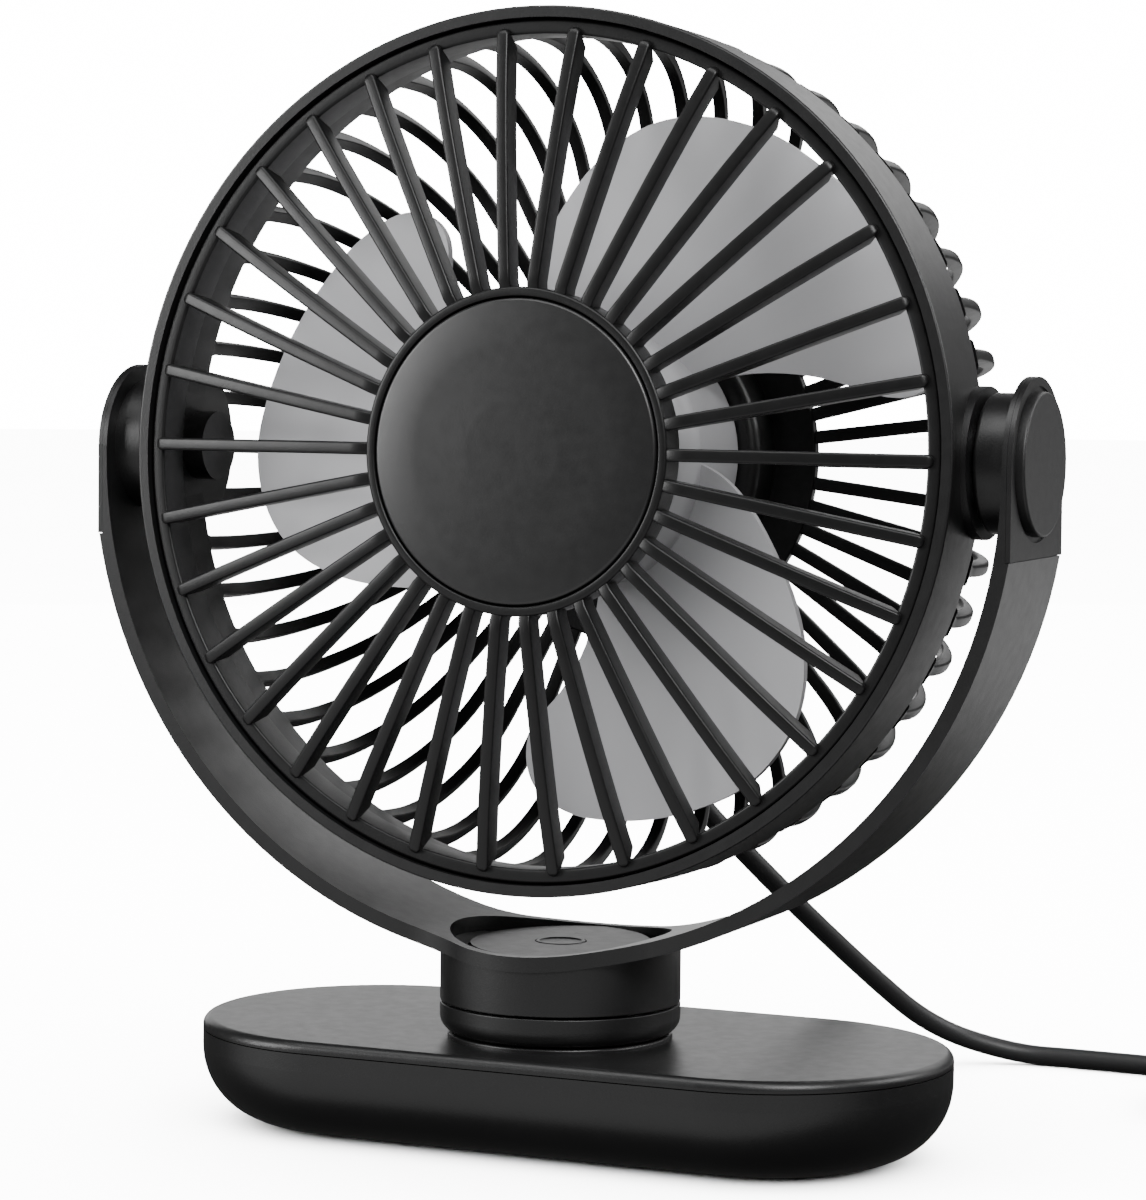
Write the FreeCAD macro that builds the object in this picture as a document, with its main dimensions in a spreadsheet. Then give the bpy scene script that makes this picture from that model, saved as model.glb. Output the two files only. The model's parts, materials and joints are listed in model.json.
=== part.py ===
"""Small desk fan: a round head tilts in a U-shaped strip yoke, which swivels on a flat base.

Frame: millimetres, +Z up, the fan faces -Y, origin at the centre of the underside.
Pieces of the head are drawn about the spin axis (local Y, measured backwards from the tilt axis)
and are placed at the tilt axis, leaning back by head_lean degrees.
"""
import FreeCAD, Part
import math
import os
import re
import Sketcher
from FreeCAD import Placement, Rotation, Vector

DOC = FreeCAD.newDocument("desk_fan")
SHEET = DOC.addObject("Spreadsheet::Sheet", "sizes")

SIZES = {
    # base
    "base_length": 146.0, "base_depth": 69.0, "base_top": 19.8, "base_seam": 17.6,
    "shell_bottom": 0.4, "shell_floor": 3.6, "shell_wall": 2.4, "foot_round": 14.0,
    "top_round": 1.6, "seam_gap": 0.2, "lip_drop": 2.0, "lip_wall": 1.6,
    "pad_length": 110.0, "pad_depth": 32.0, "pad_top": 1.2,
    "screw_x": 47.0, "screw_y": 9.0, "screw_radius": 1.25, "screw_head_radius": 2.6,
    "screw_head_bottom": 1.3, "screw_head_top": 2.4, "screw_length": 9.0, "post_radius": 2.9,
    "ballast_length": 82.0, "ballast_depth": 44.0, "ballast_bottom": 3.7, "ballast_top": 8.7,
    "ballast_bore": 9.5,
    # neck, on the swivel axis
    "axis_y": -5.0, "neck_radius": 22.25, "flange_radius": 20.8, "flange_top": 20.6,
    "collar_round": 3.2, "collar_top": 26.2, "collar_wall": 2.7, "collar_floor": 23.0,
    "hub_radius": 12.5, "washer_top": 26.5, "upper_bottom": 26.6, "upper_floor": 28.6,
    "ledge_radius": 16.5, "ledge_top": 31.6, "bolt_radius": 4.0, "bolt_bottom": 10.0,
    "bolt_head_radius": 6.6, "bolt_head_bottom": 29.3, "bolt_head_top": 31.0,
    "socket_radius": 2.0, "socket_depth": 1.1, "nut_radius": 6.6, "nut_bottom": 12.4,
    "nut_top": 16.4, "running_gap": 0.06, "fit_gap": 0.05, "slip_gap": 0.1,
    # yoke
    "arc_z": 125.4, "arc_outer": 90.75, "arc_inner": 88.0, "strip_width": 30.8,
    "platform_radius": 22.6, "blend_radius": 20.0, "recess_radius": 20.5, "recess_floor": 35.6,
    "button_well": 8.0, "panel_radius": 20.3, "panel_offset": 4.0, "panel_top": 37.2,
    "arm_seam_z": 110.6, "arm_split_x": 88.9, "arm_face_x": 89.8, "arm_round": 15.3,
    "cap_radius": 12.7, "cap_groove": 13.7, "cap_groove_depth": 0.45, "cap_face_x": 91.3,
    "boss_radius": 12.4, "boss_end_x": 81.7, "boss_chamfer": 0.8,
    "pivot_radius": 3.0, "pivot_inner_x": 74.3, "pivot_head_radius": 6.0, "pivot_head": 1.0,
    "friction_radius": 9.0, "friction_thickness": 0.4,
    "collar_rim": 38.5, "board_radius": 17.2, "board_thickness": 1.0, "switch_width": 4.6,
    "switch_height": 1.0,
    "button_radius": 4.6, "button_top": 37.3, "button_skirt": 5.4, "button_travel": 0.5,
    "lens_length": 2.7, "lens_width": 0.8, "lens_back": 9.6,
    # head, along the spin axis from the tilt axis
    "tilt_z": 127.2, "head_lean": 2.2, "drum_radius": 80.0, "drum_front": -17.5, "drum_rear": -0.1,
    "drum_mouth": 77.9, "drum_bore": 76.8, "drum_ledge": -8.9, "spigot_radius": 78.3,
    "spigot_front": -6.0, "spigot_rear": 1.5, "lobe_radius": 13.5, "lobe_face_x": 80.9,
    "lobe_boss_radius": 6.5, "lobe_boss_inner_x": 72.4, "bush_radius": 4.4, "bush_inner_x": 74.0,
    "ring_outer": 77.5, "ring_inner": 75.0, "ring_front": -16.5, "ring_rear": -9.0,
    "front_ribs": 34, "front_rib_width": 2.3, "front_rib_depth": 4.4,
    "rib_mid_radius": 55.0, "rib_mid_rise": 4.2, "rib_mid_round": 200.0,
    "rib_outer_radius": 70.0, "rib_outer_rise": 1.9, "rib_outer_round": 60.0,
    "hub_ring_outer": 29.4, "hub_ring_inner": 27.7, "hub_ring_front": -23.25,
    "hub_floor_front": -18.9, "hub_floor_rear": -17.3, "disc_radius": 27.4, "disc_front": -23.9,
    "disc_rear": -21.7, "disc_peg": 3.0,
    "rear_ribs": 52, "rear_rib_width": 2.45, "bowl_centre_radius": 56.9,
    "bowl_outer_front": 5.2, "bowl_outer_rear": 37.2, "bowl_outer_radius": 79.9,
    "bowl_inner_front": 7.5, "bowl_inner_rear": 35.2, "bowl_inner_radius": 77.1,
    "hub_plate_radius": 36.0, "hub_step_radius": 32.5, "hub_plate_front": 34.7,
    "hub_plate_rear": 36.2, "hub_plate_bore": 8.0,
    "motor_radius": 28.0, "motor_front": 25.1, "motor_wall": 1.6, "stator_radius": 25.6,
    "stator_bore": 16.6, "rotor_radius": 15.8, "winding_front": 27.6, "winding_rear": 32.2,
    "shaft_radius": 1.5, "shaft_front": 0.0, "shaft_rear": 35.8, "bearing_radius": 4.4,
    "bearing_front": 25.3, "bearing_length": 2.2, "rear_bearing_front": 33.6,
    "motor_screw_radius": 1.2, "motor_screw_circle": 23.6, "motor_lug_radius": 3.2,
    "cover_radius": 32.2, "cover_front": 36.3, "cover_rear": 45.6, "cover_wall": 1.8,
    "cover_round": 4.0, "gland_depth": 41.2, "gland_top": 31.0, "gland_end": 41.0,
    "gland_radius": 4.0, "gland_tip_radius": 3.0,
    # impeller
    "blades": 3, "tip_radius": 68.8, "impeller_radius": 24.5, "impeller_front": 0.6,
    "impeller_rear": 24.5, "impeller_wall": 1.8, "impeller_boss": 4.0, "blade_thickness": 1.8,
    "blade_mid_angle": 50.0, "blade_mid_depth": 13.0, "blade_slope": 0.32, "blade_curve": 300.0,
    "impeller_boss_rear": 20.0, "lock_ring_front": 20.6, "lock_ring_rear": 21.6,
    "lock_ring_radius": 3.4,
    # cord and plug
    "cord_radius": 2.0, "coil_x": 119.0, "coil_y": 81.4, "coil_turn": 22.0, "coil_half_width": 6.1,
    "coil_height": 8.2, "plug_x": 147.0, "plug_y": 61.0, "plug_width": 14.7, "plug_length": 16.5,
    "plug_thickness": 7.6, "plug_round": 2.6, "plug_collar_radius": 2.55, "plug_collar_length": 3.5,
    "usb_width": 12.0, "usb_thickness": 4.5, "usb_length": 11.8, "usb_wall": 0.35,
    "usb_window": 2.6, "usb_window_x": 2.7, "usb_window_y": 4.2, "tongue_thickness": 1.9,
    "contact_width": 1.0, "contact_pitch": 2.0, "contact_length": 8.5, "contact_height": 0.25,
}
for row, (alias, amount) in enumerate(SIZES.items(), start=1):
    SHEET.set(f"A{row}", alias)
    SHEET.set(f"B{row}", str(amount))
    SHEET.setAlias(f"B{row}", alias)
DOC.recompute()

PARTS = {}


# ---- tools ------------------------------------------------------------------------------------

def formula(text):
    """A formula as the spreadsheet reads it: each alias gets the sheet's name in front."""
    return re.sub(r"[a-z]\w*", lambda word: "sizes." + word.group()
                  if word.group() in SIZES else word.group(), str(text))


def number(text):
    """The present value of a formula."""
    result = SHEET.evalExpression(formula(text))
    return float(getattr(result, "Value", result))


def bind(piece, **formulas):
    for name, text in formulas.items():
        piece.setExpression(name, formula(text))


def move(piece, x="0", y="0", z="0"):
    for axis, text in zip("xyz", (x, y, z)):
        if text != "0":
            piece.setExpression(f"Placement.Base.{axis}", formula(text))


def keep(label, piece, where="world"):
    """Name a finished piece and stand it on its axis: world, neck (swivel) or head (spin)."""
    piece.Label = label
    if where == "neck":
        move(piece, y="axis_y")
    if where == "head":
        piece.Placement = Placement(Vector(), Rotation(Vector(1, 0, 0), -number("head_lean")))
        move(piece, y="axis_y", z="tilt_z")
    PARTS[label] = piece
    return piece


def plane_of(body, role):
    return next(item for item in body.Origin.OriginFeatures if item.Role == role)


def new_sketch(body, plane, height="0"):
    sketch = body.newObject("Sketcher::SketchObject", "outline")
    sketch.AttachmentSupport = (plane_of(body, plane), [""])
    sketch.MapMode = "FlatFace"
    if height != "0":
        sketch.setExpression("AttachmentOffset.Base.z", formula(height))
    return sketch


def hold_point(sketch, geometry, position, across, up):
    """Fix one point of a sketch to a pair of formulas."""
    for kind, axis, text in (("DistanceX", -2, across), ("DistanceY", -1, up)):
        if number(text) == 0:
            sketch.addConstraint(Sketcher.Constraint("PointOnObject", geometry, position, axis))
        else:
            index = sketch.addConstraint(
                Sketcher.Constraint(kind, -1, 1, geometry, position, number(text)))
            sketch.setExpression(f"Constraints[{index}]", formula(text))


def polygon(sketch, corners):
    """A closed outline. Each corner is (across, up) or, for a rounded one, (across, up, radius)."""
    points = [Vector(number(corner[0]), number(corner[1]), 0) for corner in corners]
    count = len(points)
    starts, ends, arcs = [], [], {}
    for i, corner in enumerate(corners):
        to_last = (points[i - 1] - points[i]).normalize()
        to_next = (points[(i + 1) % count] - points[i]).normalize()
        if len(corner) == 2:
            starts.append(points[i])
            ends.append(points[i])
            continue
        radius = number(corner[2])
        half = to_last.getAngle(to_next) / 2
        reach = radius / math.tan(half)
        middle = points[i] + (to_last + to_next).normalize() * (radius / math.sin(half))
        ends.append(points[i] + to_last * reach)
        starts.append(points[i] + to_next * reach)
        left_turn = to_next.cross(to_last).z > 0
        arcs[i] = (middle, radius, left_turn)
    for i in range(count):
        sketch.addGeometry(Part.LineSegment(starts[i], ends[(i + 1) % count]), False)
    for i, corner in enumerate(corners):
        last = (i - 1) % count
        if i not in arcs:
            sketch.addConstraint(Sketcher.Constraint("Coincident", last, 2, i, 1))
            hold_point(sketch, i, 1, corner[0], corner[1])
            continue
        middle, radius, left_turn = arcs[i]
        first, second = (ends[i], starts[i]) if left_turn else (starts[i], ends[i])
        angles = [math.atan2(p.y - middle.y, p.x - middle.x) for p in (first, second)]
        circle = Part.Circle(middle, Vector(0, 0, 1), radius)
        arc = sketch.addGeometry(Part.ArcOfCircle(circle, angles[0], angles[1]), False)
        mark = sketch.addGeometry(Part.Point(points[i]), True)
        meets = (1, 2) if left_turn else (2, 1)
        sketch.addConstraint([
            Sketcher.Constraint("Tangent", last, 2, arc, meets[0]),
            Sketcher.Constraint("Tangent", arc, meets[1], i, 1),
            Sketcher.Constraint("PointOnObject", mark, 1, last),
            Sketcher.Constraint("PointOnObject", mark, 1, i),
        ])
        index = sketch.addConstraint(Sketcher.Constraint("Radius", arc, radius))
        sketch.setExpression(f"Constraints[{index}]", formula(corner[2]))
        hold_point(sketch, mark, 1, corner[0], corner[1])


def stadium(sketch, length, depth):
    """A rectangle with round ends, centred, long in the sketch's first direction."""
    half = number(f"({length} - {depth}) / 2")
    radius = number(f"({depth}) / 2")
    right, left = Vector(half, 0, 0), Vector(-half, 0, 0)
    up = Vector(0, radius, 0)
    out = Vector(0, 0, 1)
    sketch.addGeometry([
        Part.LineSegment(left - up, right - up),
        Part.ArcOfCircle(Part.Circle(right, out, radius), -math.pi / 2, math.pi / 2),
        Part.LineSegment(right + up, left + up),
        Part.ArcOfCircle(Part.Circle(left, out, radius), math.pi / 2, 3 * math.pi / 2),
    ], False)
    sketch.addConstraint([Sketcher.Constraint("Tangent", i, 2, (i + 1) % 4, 1) for i in range(4)])
    sketch.addConstraint([
        Sketcher.Constraint("PointOnObject", 1, 3, -1),
        Sketcher.Constraint("PointOnObject", 3, 3, -1),
        Sketcher.Constraint("Equal", 1, 3),
    ])
    for constraint, text in (
            (Sketcher.Constraint("DistanceX", -1, 1, 1, 3, half), f"({length} - {depth}) / 2"),
            (Sketcher.Constraint("DistanceX", 3, 3, -1, 1, half), f"({length} - {depth}) / 2"),
            (Sketcher.Constraint("Radius", 1, radius), f"({depth}) / 2")):
        index = sketch.addConstraint(constraint)
        sketch.setExpression(f"Constraints[{index}]", formula(text))


def circles(sketch, radius, centres):
    for across, up in centres:
        centre = Vector(number(across), number(up), 0)
        ring = sketch.addGeometry(Part.Circle(centre, Vector(0, 0, 1), number(radius)), False)
        hold_point(sketch, ring, 3, across, up)
        index = sketch.addConstraint(Sketcher.Constraint("Radius", ring, number(radius)))
        sketch.setExpression(f"Constraints[{index}]", formula(radius))


def new_body(label):
    return DOC.addObject("PartDesign::Body", label)


def pad(body, sketch, length, reverse=False, both=False):
    feature = body.newObject("PartDesign::Pad", "pad")
    feature.Profile = sketch
    feature.Reversed = reverse
    feature.Midplane = both
    bind(feature, Length=length)
    return feature


def pocket(body, sketch, length, reverse=False):
    """Cut a sketch into a body, and make sure that it removed something."""
    DOC.recompute()
    before = body.Shape.Volume
    feature = body.newObject("PartDesign::Pocket", "pocket")
    feature.Profile = sketch
    feature.Reversed = reverse
    bind(feature, Length=length)
    DOC.recompute()
    if body.Shape.Volume > before - 0.01:
        raise RuntimeError(f"{body.Label}: a pocket cuts nothing")
    return feature


def round_edges(body, feature, radius, wanted):
    """Fillet the edges of a feature that the test function picks."""
    DOC.recompute()
    names = [f"Edge{i}" for i, edge in enumerate(feature.Shape.Edges, 1) if wanted(edge)]
    fillet = body.newObject("PartDesign::Fillet", "fillet")
    fillet.Base = (feature, names)
    bind(fillet, Radius=radius)
    return fillet


def at_height(text):
    """A test for edges that lie wholly at one height."""
    level = number(text)
    return lambda edge: (abs(edge.BoundBox.ZMin - level) < 1e-4
                         and abs(edge.BoundBox.ZMax - level) < 1e-4)


def revolve(body, corners, axis):
    """Turn an outline about local Z or Y, corners (radius, along), or about X, (along, radius)."""
    sketch = new_sketch(body, "XZ_Plane" if axis == "Z" else "XY_Plane")
    polygon(sketch, corners)
    feature = body.newObject("PartDesign::Revolution", "turn")
    feature.Profile = sketch
    feature.ReferenceAxis = (sketch, ["H_Axis" if axis == "X" else "V_Axis"])
    feature.Angle = 360
    return feature


def turned(label, axis, corners, where):
    body = new_body(label)
    revolve(body, corners, axis)
    return keep(label, body, where)


AXIS_TURN = {"X": Rotation(Vector(0, 1, 0), 90), "Y": Rotation(Vector(1, 0, 0), -90),
             "Z": Rotation()}


def cylinder(radius, length, x="0", y="0", z="0", axis="Z"):
    piece = DOC.addObject("Part::Cylinder", "cylinder")
    piece.Placement = Placement(Vector(), AXIS_TURN[axis])
    bind(piece, Radius=radius, Height=length)
    move(piece, x, y, z)
    return piece


def block(length, depth, height, x, y, z):
    """A box whose lowest corner is at x, y, z."""
    piece = DOC.addObject("Part::Box", "block")
    bind(piece, Length=length, Width=depth, Height=height)
    move(piece, x, y, z)
    return piece


def fuse(*pieces):
    result = DOC.addObject("Part::MultiFuse", "fusion")
    result.Shapes = list(pieces)
    return result


def common(*pieces):
    result = DOC.addObject("Part::MultiCommon", "common")
    result.Shapes = list(pieces)
    return result


def cut(piece, tool):
    result = DOC.addObject("Part::Cut", "cut")
    result.Base = piece
    result.Tool = tool
    return result


def solid_feature(label, shape, where="world"):
    """A shape made in code, for the few pieces that no primitive or sketch fits."""
    piece = DOC.addObject("Part::Feature", label)
    piece.Shape = shape
    return keep(label, piece, where)


# ---- base -------------------------------------------------------------------------------------

SCREW_PLACES = [(f"{sx}screw_x", f"{sy}screw_y") for sx in ("-", "") for sy in ("-", "")]


def base_lower_shell():
    body = new_body("base_lower_shell")
    outer = new_sketch(body, "XY_Plane", "shell_bottom")
    stadium(outer, "base_length", "base_depth")
    pad(body, outer, "base_seam - shell_bottom")
    cavity = new_sketch(body, "XY_Plane", "base_seam")
    stadium(cavity, "base_length - 2 * shell_wall", "base_depth - 2 * shell_wall")
    hollow = pocket(body, cavity, "base_seam - shell_floor")
    inside = round_edges(body, hollow, "foot_round - shell_floor + shell_bottom", at_height("shell_floor"))
    round_edges(body, inside, "foot_round", at_height("shell_bottom"))
    for outline, depth in ((lambda s: stadium(s, "pad_length", "pad_depth"), "pad_top - shell_bottom"),
                           (lambda s: circles(s, "screw_head_radius + 0.3", SCREW_PLACES),
                            "screw_head_top - shell_bottom + slip_gap"),
                           (lambda s: circles(s, "screw_radius + 0.2", SCREW_PLACES), "shell_floor")):
        sketch = new_sketch(body, "XY_Plane", "shell_bottom")
        outline(sketch)
        pocket(body, sketch, depth, reverse=True)
    return keep("base_lower_shell", body)


def base_top_cover():
    body = new_body("base_top_cover")
    plate = new_sketch(body, "XY_Plane", "base_seam + seam_gap")
    stadium(plate, "base_length", "base_depth")
    top = pad(body, plate, "base_top - base_seam - seam_gap")
    round_edges(body, top, "top_round", at_height("base_top"))
    lip = new_sketch(body, "XY_Plane", "base_seam + seam_gap")
    stadium(lip, "base_length - 2 * shell_wall - 0.3", "base_depth - 2 * shell_wall - 0.3")
    pad(body, lip, "lip_drop", reverse=True)
    inside = new_sketch(body, "XY_Plane", "base_seam + seam_gap - lip_drop")
    stadium(inside, "base_length - 2 * shell_wall - 0.3 - 2 * lip_wall",
            "base_depth - 2 * shell_wall - 0.3 - 2 * lip_wall")
    pocket(body, inside, "lip_drop", reverse=True)
    posts = new_sketch(body, "XY_Plane", "shell_floor + slip_gap")
    circles(posts, "post_radius", SCREW_PLACES)
    pad(body, posts, "base_seam + seam_gap - shell_floor")
    holes = new_sketch(body, "XY_Plane", "shell_floor + slip_gap")
    circles(holes, "screw_radius", SCREW_PLACES)
    pocket(body, holes, "screw_length", reverse=True)
    bolt_hole = new_sketch(body, "XY_Plane", "base_top")
    circles(bolt_hole, "bolt_radius + slip_gap", [("0", "axis_y")])
    pocket(body, bolt_hole, "base_top - base_seam + slip_gap")
    return keep("base_top_cover", body)


def ballast_plate():
    body = new_body("ballast_plate")
    plate = new_sketch(body, "XY_Plane", "ballast_bottom")
    stadium(plate, "ballast_length", "ballast_depth")
    pad(body, plate, "ballast_top - ballast_bottom")
    bore = new_sketch(body, "XY_Plane", "ballast_top")
    circles(bore, "ballast_bore", [("0", "axis_y")])
    pocket(body, bore, "ballast_top - ballast_bottom")
    return keep("ballast_plate", body)


def anti_slip_pad():
    body = new_body("anti_slip_pad")
    foot = new_sketch(body, "XY_Plane")
    stadium(foot, "pad_length - 0.2", "pad_depth - 0.2")
    pad(body, foot, "pad_top")
    return keep("anti_slip_pad", body)


def base_screws():
    pieces = []
    for x, y in SCREW_PLACES:
        pieces.append(cylinder("screw_head_radius", "screw_head_top - screw_head_bottom",
                               x, y, "screw_head_bottom"))
        pieces.append(cylinder("screw_radius", "screw_length", x, y, "screw_head_bottom + 0.5"))
    return keep("base_screws", fuse(*pieces))


def neck_base_pieces():
    turned("neck_flange", "Z", [
        ("bolt_radius + slip_gap", "base_top"), ("flange_radius", "base_top"),
        ("flange_radius", "flange_top", "0.4"), ("bolt_radius + slip_gap", "flange_top")], "neck")
    turned("neck_lower_collar", "Z", [
        ("bolt_radius + slip_gap", "flange_top"), ("neck_radius", "flange_top", "collar_round"),
        ("neck_radius", "collar_top", "0.2"), ("neck_radius - collar_wall", "collar_top"),
        ("neck_radius - collar_wall", "collar_floor"), ("hub_radius", "collar_floor"),
        ("hub_radius", "collar_top"), ("bolt_radius + slip_gap", "collar_top")], "neck")
    turned("swivel_washer", "Z", [
        ("bolt_radius + 0.2", "collar_top"), ("hub_radius - 0.5", "collar_top"),
        ("hub_radius - 0.5", "washer_top"), ("bolt_radius + 0.2", "washer_top")], "neck")
    turned("swivel_bolt", "Z", [
        ("0", "bolt_bottom"), ("bolt_radius", "bolt_bottom", "0.6"),
        ("bolt_radius", "bolt_head_bottom"), ("bolt_head_radius", "bolt_head_bottom"),
        ("bolt_head_radius", "bolt_head_top", "0.5"), ("socket_radius", "bolt_head_top"),
        ("socket_radius", "bolt_head_top - socket_depth"), ("0", "bolt_head_top - socket_depth")],
        "neck")
    turned("spring_washer", "Z", [
        ("bolt_radius + 0.2", "upper_floor + slip_gap"), ("bolt_head_radius + 0.6", "upper_floor + slip_gap"),
        ("bolt_head_radius + 0.6", "bolt_head_bottom"), ("bolt_radius + 0.2", "bolt_head_bottom")],
        "neck")
    nut = DOC.addObject("Part::Prism", "hexagon")
    nut.Polygon = 6
    bind(nut, Circumradius="nut_radius", Height="nut_top - nut_bottom")
    move(nut, z="nut_bottom")
    keep("swivel_nut", cut(nut, cylinder("bolt_radius + 0.02", "base_top")), "neck")


# ---- yoke -------------------------------------------------------------------------------------

SIDES = {"right": 1, "left": -1}


def strip_prism(radius, y_front, y_rear):
    """A cylinder about the yoke's arc axis (along Y) between two depths beside the swivel axis."""
    return cylinder(radius, f"{y_rear} - ({y_front})", y=f"axis_y + {y_front}", z="arc_z", axis="Y")


def arm_plate(side, inner_x, outer_x, low_z):
    """A round-topped plate at one pivot, between two distances from the middle."""
    start = inner_x if side > 0 else f"-({outer_x})"
    thickness = f"{outer_x} - ({inner_x})"
    leg = block(thickness, "strip_width", f"tilt_z - {low_z}", start,
                "axis_y - strip_width / 2", low_z)
    top = cylinder("arm_round", thickness, start, "axis_y", "tilt_z", "X")
    return fuse(leg, top)


def beyond_strip():
    """All that lies outside the strip's inner face, up to the arc's centre."""
    low_half = block("2 * cap_face_x", "2 * strip_width", "arc_z", "-cap_face_x",
                     "axis_y - strip_width", "0")
    return cut(low_half, strip_prism("arc_inner", "-2 * strip_width", "2 * strip_width"))


def pivot_hole(side, radius, inner_x, outer_x):
    start = inner_x if side > 0 else f"-({outer_x})"
    return cylinder(radius, f"{outer_x} - ({inner_x})", start, "axis_y", "tilt_z", "X")


def yoke_frame():
    band = cut(strip_prism("arc_outer", "-30", "30"), strip_prism("arc_inner", "-31", "31"))
    strip = block("240", "strip_width", "arc_z", "-120", "axis_y - strip_width / 2", "0")
    disc = cylinder("platform_radius", "60", y="axis_y")
    reach = "sqrt((platform_radius + blend_radius) ^ 2 - (strip_width / 2 + blend_radius) ^ 2)"
    touch = "platform_radius * (strip_width / 2 + blend_radius) / (platform_radius + blend_radius)"
    shoulders = block(f"2 * {reach}", f"2 * {touch}", "60", f"-{reach}", f"axis_y - {touch}", "0")
    corners = [cylinder("blend_radius", "60", f"{sx}{reach}",
                        f"axis_y {sy} (strip_width / 2 + blend_radius)")
               for sx in ("-", "") for sy in ("-", "+")]
    plan = fuse(strip, disc, cut(shoulders, fuse(*corners)))
    frame = common(band, plan)
    outside = [block("10", "60", "60", x, "axis_y - 30", "arm_seam_z")
               for x in ("arm_split_x", "-arm_split_x - 10")]
    recess = cylinder("recess_radius", "10", y="axis_y", z="recess_floor")
    well = cylinder("button_well", "20", y="axis_y", z="20")
    trimmed = cut(frame, fuse(recess, well, *outside))
    plates = [arm_plate(side, "arc_inner", "arm_split_x", "arc_z") for side in SIDES.values()]
    holes = [pivot_hole(side, "pivot_radius + fit_gap", "80", "95") for side in SIDES.values()]
    return keep("yoke_frame", cut(fuse(trimmed, *plates), fuse(*holes)))


def arm_pieces(name, side):
    cover = arm_plate(side, "arm_split_x + fit_gap", "arm_face_x", "arm_seam_z + 0.15")
    groove = pivot_hole(side, "cap_groove", "arm_face_x - cap_groove_depth", "arm_face_x + 1")
    hole = pivot_hole(side, "pivot_radius + fit_gap", "80", "95")
    keep(f"{name}_arm_cover", cut(cover, fuse(groove, hole)))
    sign = "" if side > 0 else "-"
    low, high = f"{sign}(arm_face_x - cap_groove_depth)", f"{sign}cap_face_x"
    hollow = f"{sign}(arm_face_x - cap_groove_depth + pivot_head + slip_gap)"
    cap = turned(f"{name}_pivot_cap", "X", [
        (low, "pivot_head_radius + 0.3"), (low, "cap_radius"), (high, "cap_radius", "0.5"),
        (high, "0"), (hollow, "0"), (hollow, "pivot_head_radius + 0.3")], "world")
    boss = new_body("boss")
    revolve(boss, [
        (f"{sign}arc_inner", "pivot_radius + fit_gap"), (f"{sign}arc_inner", "boss_radius"),
        (f"{sign}boss_end_x", "boss_radius", "boss_chamfer"),
        (f"{sign}boss_end_x", "pivot_radius + fit_gap")], "X")
    for piece in (cap, boss):
        move(piece, y="axis_y", z="tilt_z")
    keep(f"{name}_pivot_boss", cut(boss, beyond_strip()))


def pivot_hardware():
    screws, washers, bushes = [], [], []
    for side in SIDES.values():
        screws.append(pivot_hole(side, "pivot_radius", "pivot_inner_x", "arm_face_x"))
        screws.append(pivot_hole(side, "pivot_head_radius", "arm_face_x - cap_groove_depth",
                                 "arm_face_x - cap_groove_depth + pivot_head"))
        washers.append(cut(pivot_hole(side, "friction_radius", "boss_end_x - friction_thickness",
                                      "boss_end_x"),
                           pivot_hole(side, "pivot_radius + fit_gap", "70", "95")))
        start = "bush_inner_x" if side > 0 else "-lobe_face_x + slip_gap"
        bushes.append(cut(cylinder("bush_radius", "lobe_face_x - slip_gap - bush_inner_x", start, axis="X"),
                          cylinder("pivot_radius + running_gap", "200", "-100", axis="X")))
    keep("pivot_screws", fuse(*screws))
    keep("friction_washers", fuse(*washers))
    keep("pivot_bushes", fuse(*bushes), "head")


def leaf_plate(radius, low, high):
    """The overlap of two upright cylinders that stand side by side, between two heights."""
    pieces = [cylinder(radius, f"{high} - ({low})", x, z=low)
              for x in ("panel_offset", "-panel_offset")]
    return common(*pieces)


SWITCH_TOP = "(ledge_top + board_thickness + switch_height)"


def panel_pieces():
    hole = cylinder("button_radius + 0.2", "10", z="recess_floor - 1")
    skirt = cylinder("button_skirt + 0.3", "1.1", z="recess_floor - slip_gap")
    slot = block("lens_length", "lens_width", "5", "-lens_length / 2",
                 "lens_back - lens_width / 2", "recess_floor - 1")
    keep("control_panel", cut(leaf_plate("panel_radius", "recess_floor", "panel_top"),
                              fuse(hole, skirt, slot)), "neck")
    keep("indicator_lens", block("lens_length - slip_gap", "lens_width - slip_gap",
                                 "panel_top - recess_floor - slip_gap", "-lens_length / 2 + fit_gap",
                                 "axis_y + lens_back - lens_width / 2 + fit_gap", "recess_floor + slip_gap"))
    turned("power_button", "Z", [
        ("0", f"{SWITCH_TOP} + button_travel + 0.3"), ("1.2", f"{SWITCH_TOP} + button_travel + 0.3"),
        ("1.2", "recess_floor + slip_gap"), ("button_skirt", "recess_floor + slip_gap"),
        ("button_skirt", "recess_floor + 0.6"), ("button_radius", "recess_floor + 0.6"),
        ("button_radius", "button_top", "0.3"), ("0", "button_top")], "neck")
    board = cylinder("board_radius", "board_thickness", z="ledge_top")
    keep("control_board", board, "neck")
    keep("tact_switch", block("switch_width", "switch_width", "switch_height",
                              "-switch_width / 2", "axis_y - switch_width / 2",
                              "ledge_top + board_thickness"))


def neck_upper_collar():
    """The collar's rim follows the underside of the curved strip."""
    collar = new_body("collar")
    revolve(collar, [
        ("bolt_radius + running_gap", "upper_bottom"), ("neck_radius", "upper_bottom", "0.2"),
        ("neck_radius", "collar_rim"), ("board_radius + slip_gap", "collar_rim"),
        ("board_radius + slip_gap", "ledge_top"), ("ledge_radius", "ledge_top"),
        ("ledge_radius", "upper_floor"), ("bolt_radius + running_gap", "upper_floor")], "Z")
    above = cylinder("arc_outer + 0.02", "60", y="-30", z="arc_z", axis="Y")
    keep("neck_upper_collar", cut(collar, above), "neck")


# ---- head -------------------------------------------------------------------------------------

def along(radius, front, rear):
    """A cylinder about the spin axis between two depths."""
    return cylinder(radius, f"{rear} - ({front})", y=front, axis="Y")


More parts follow.
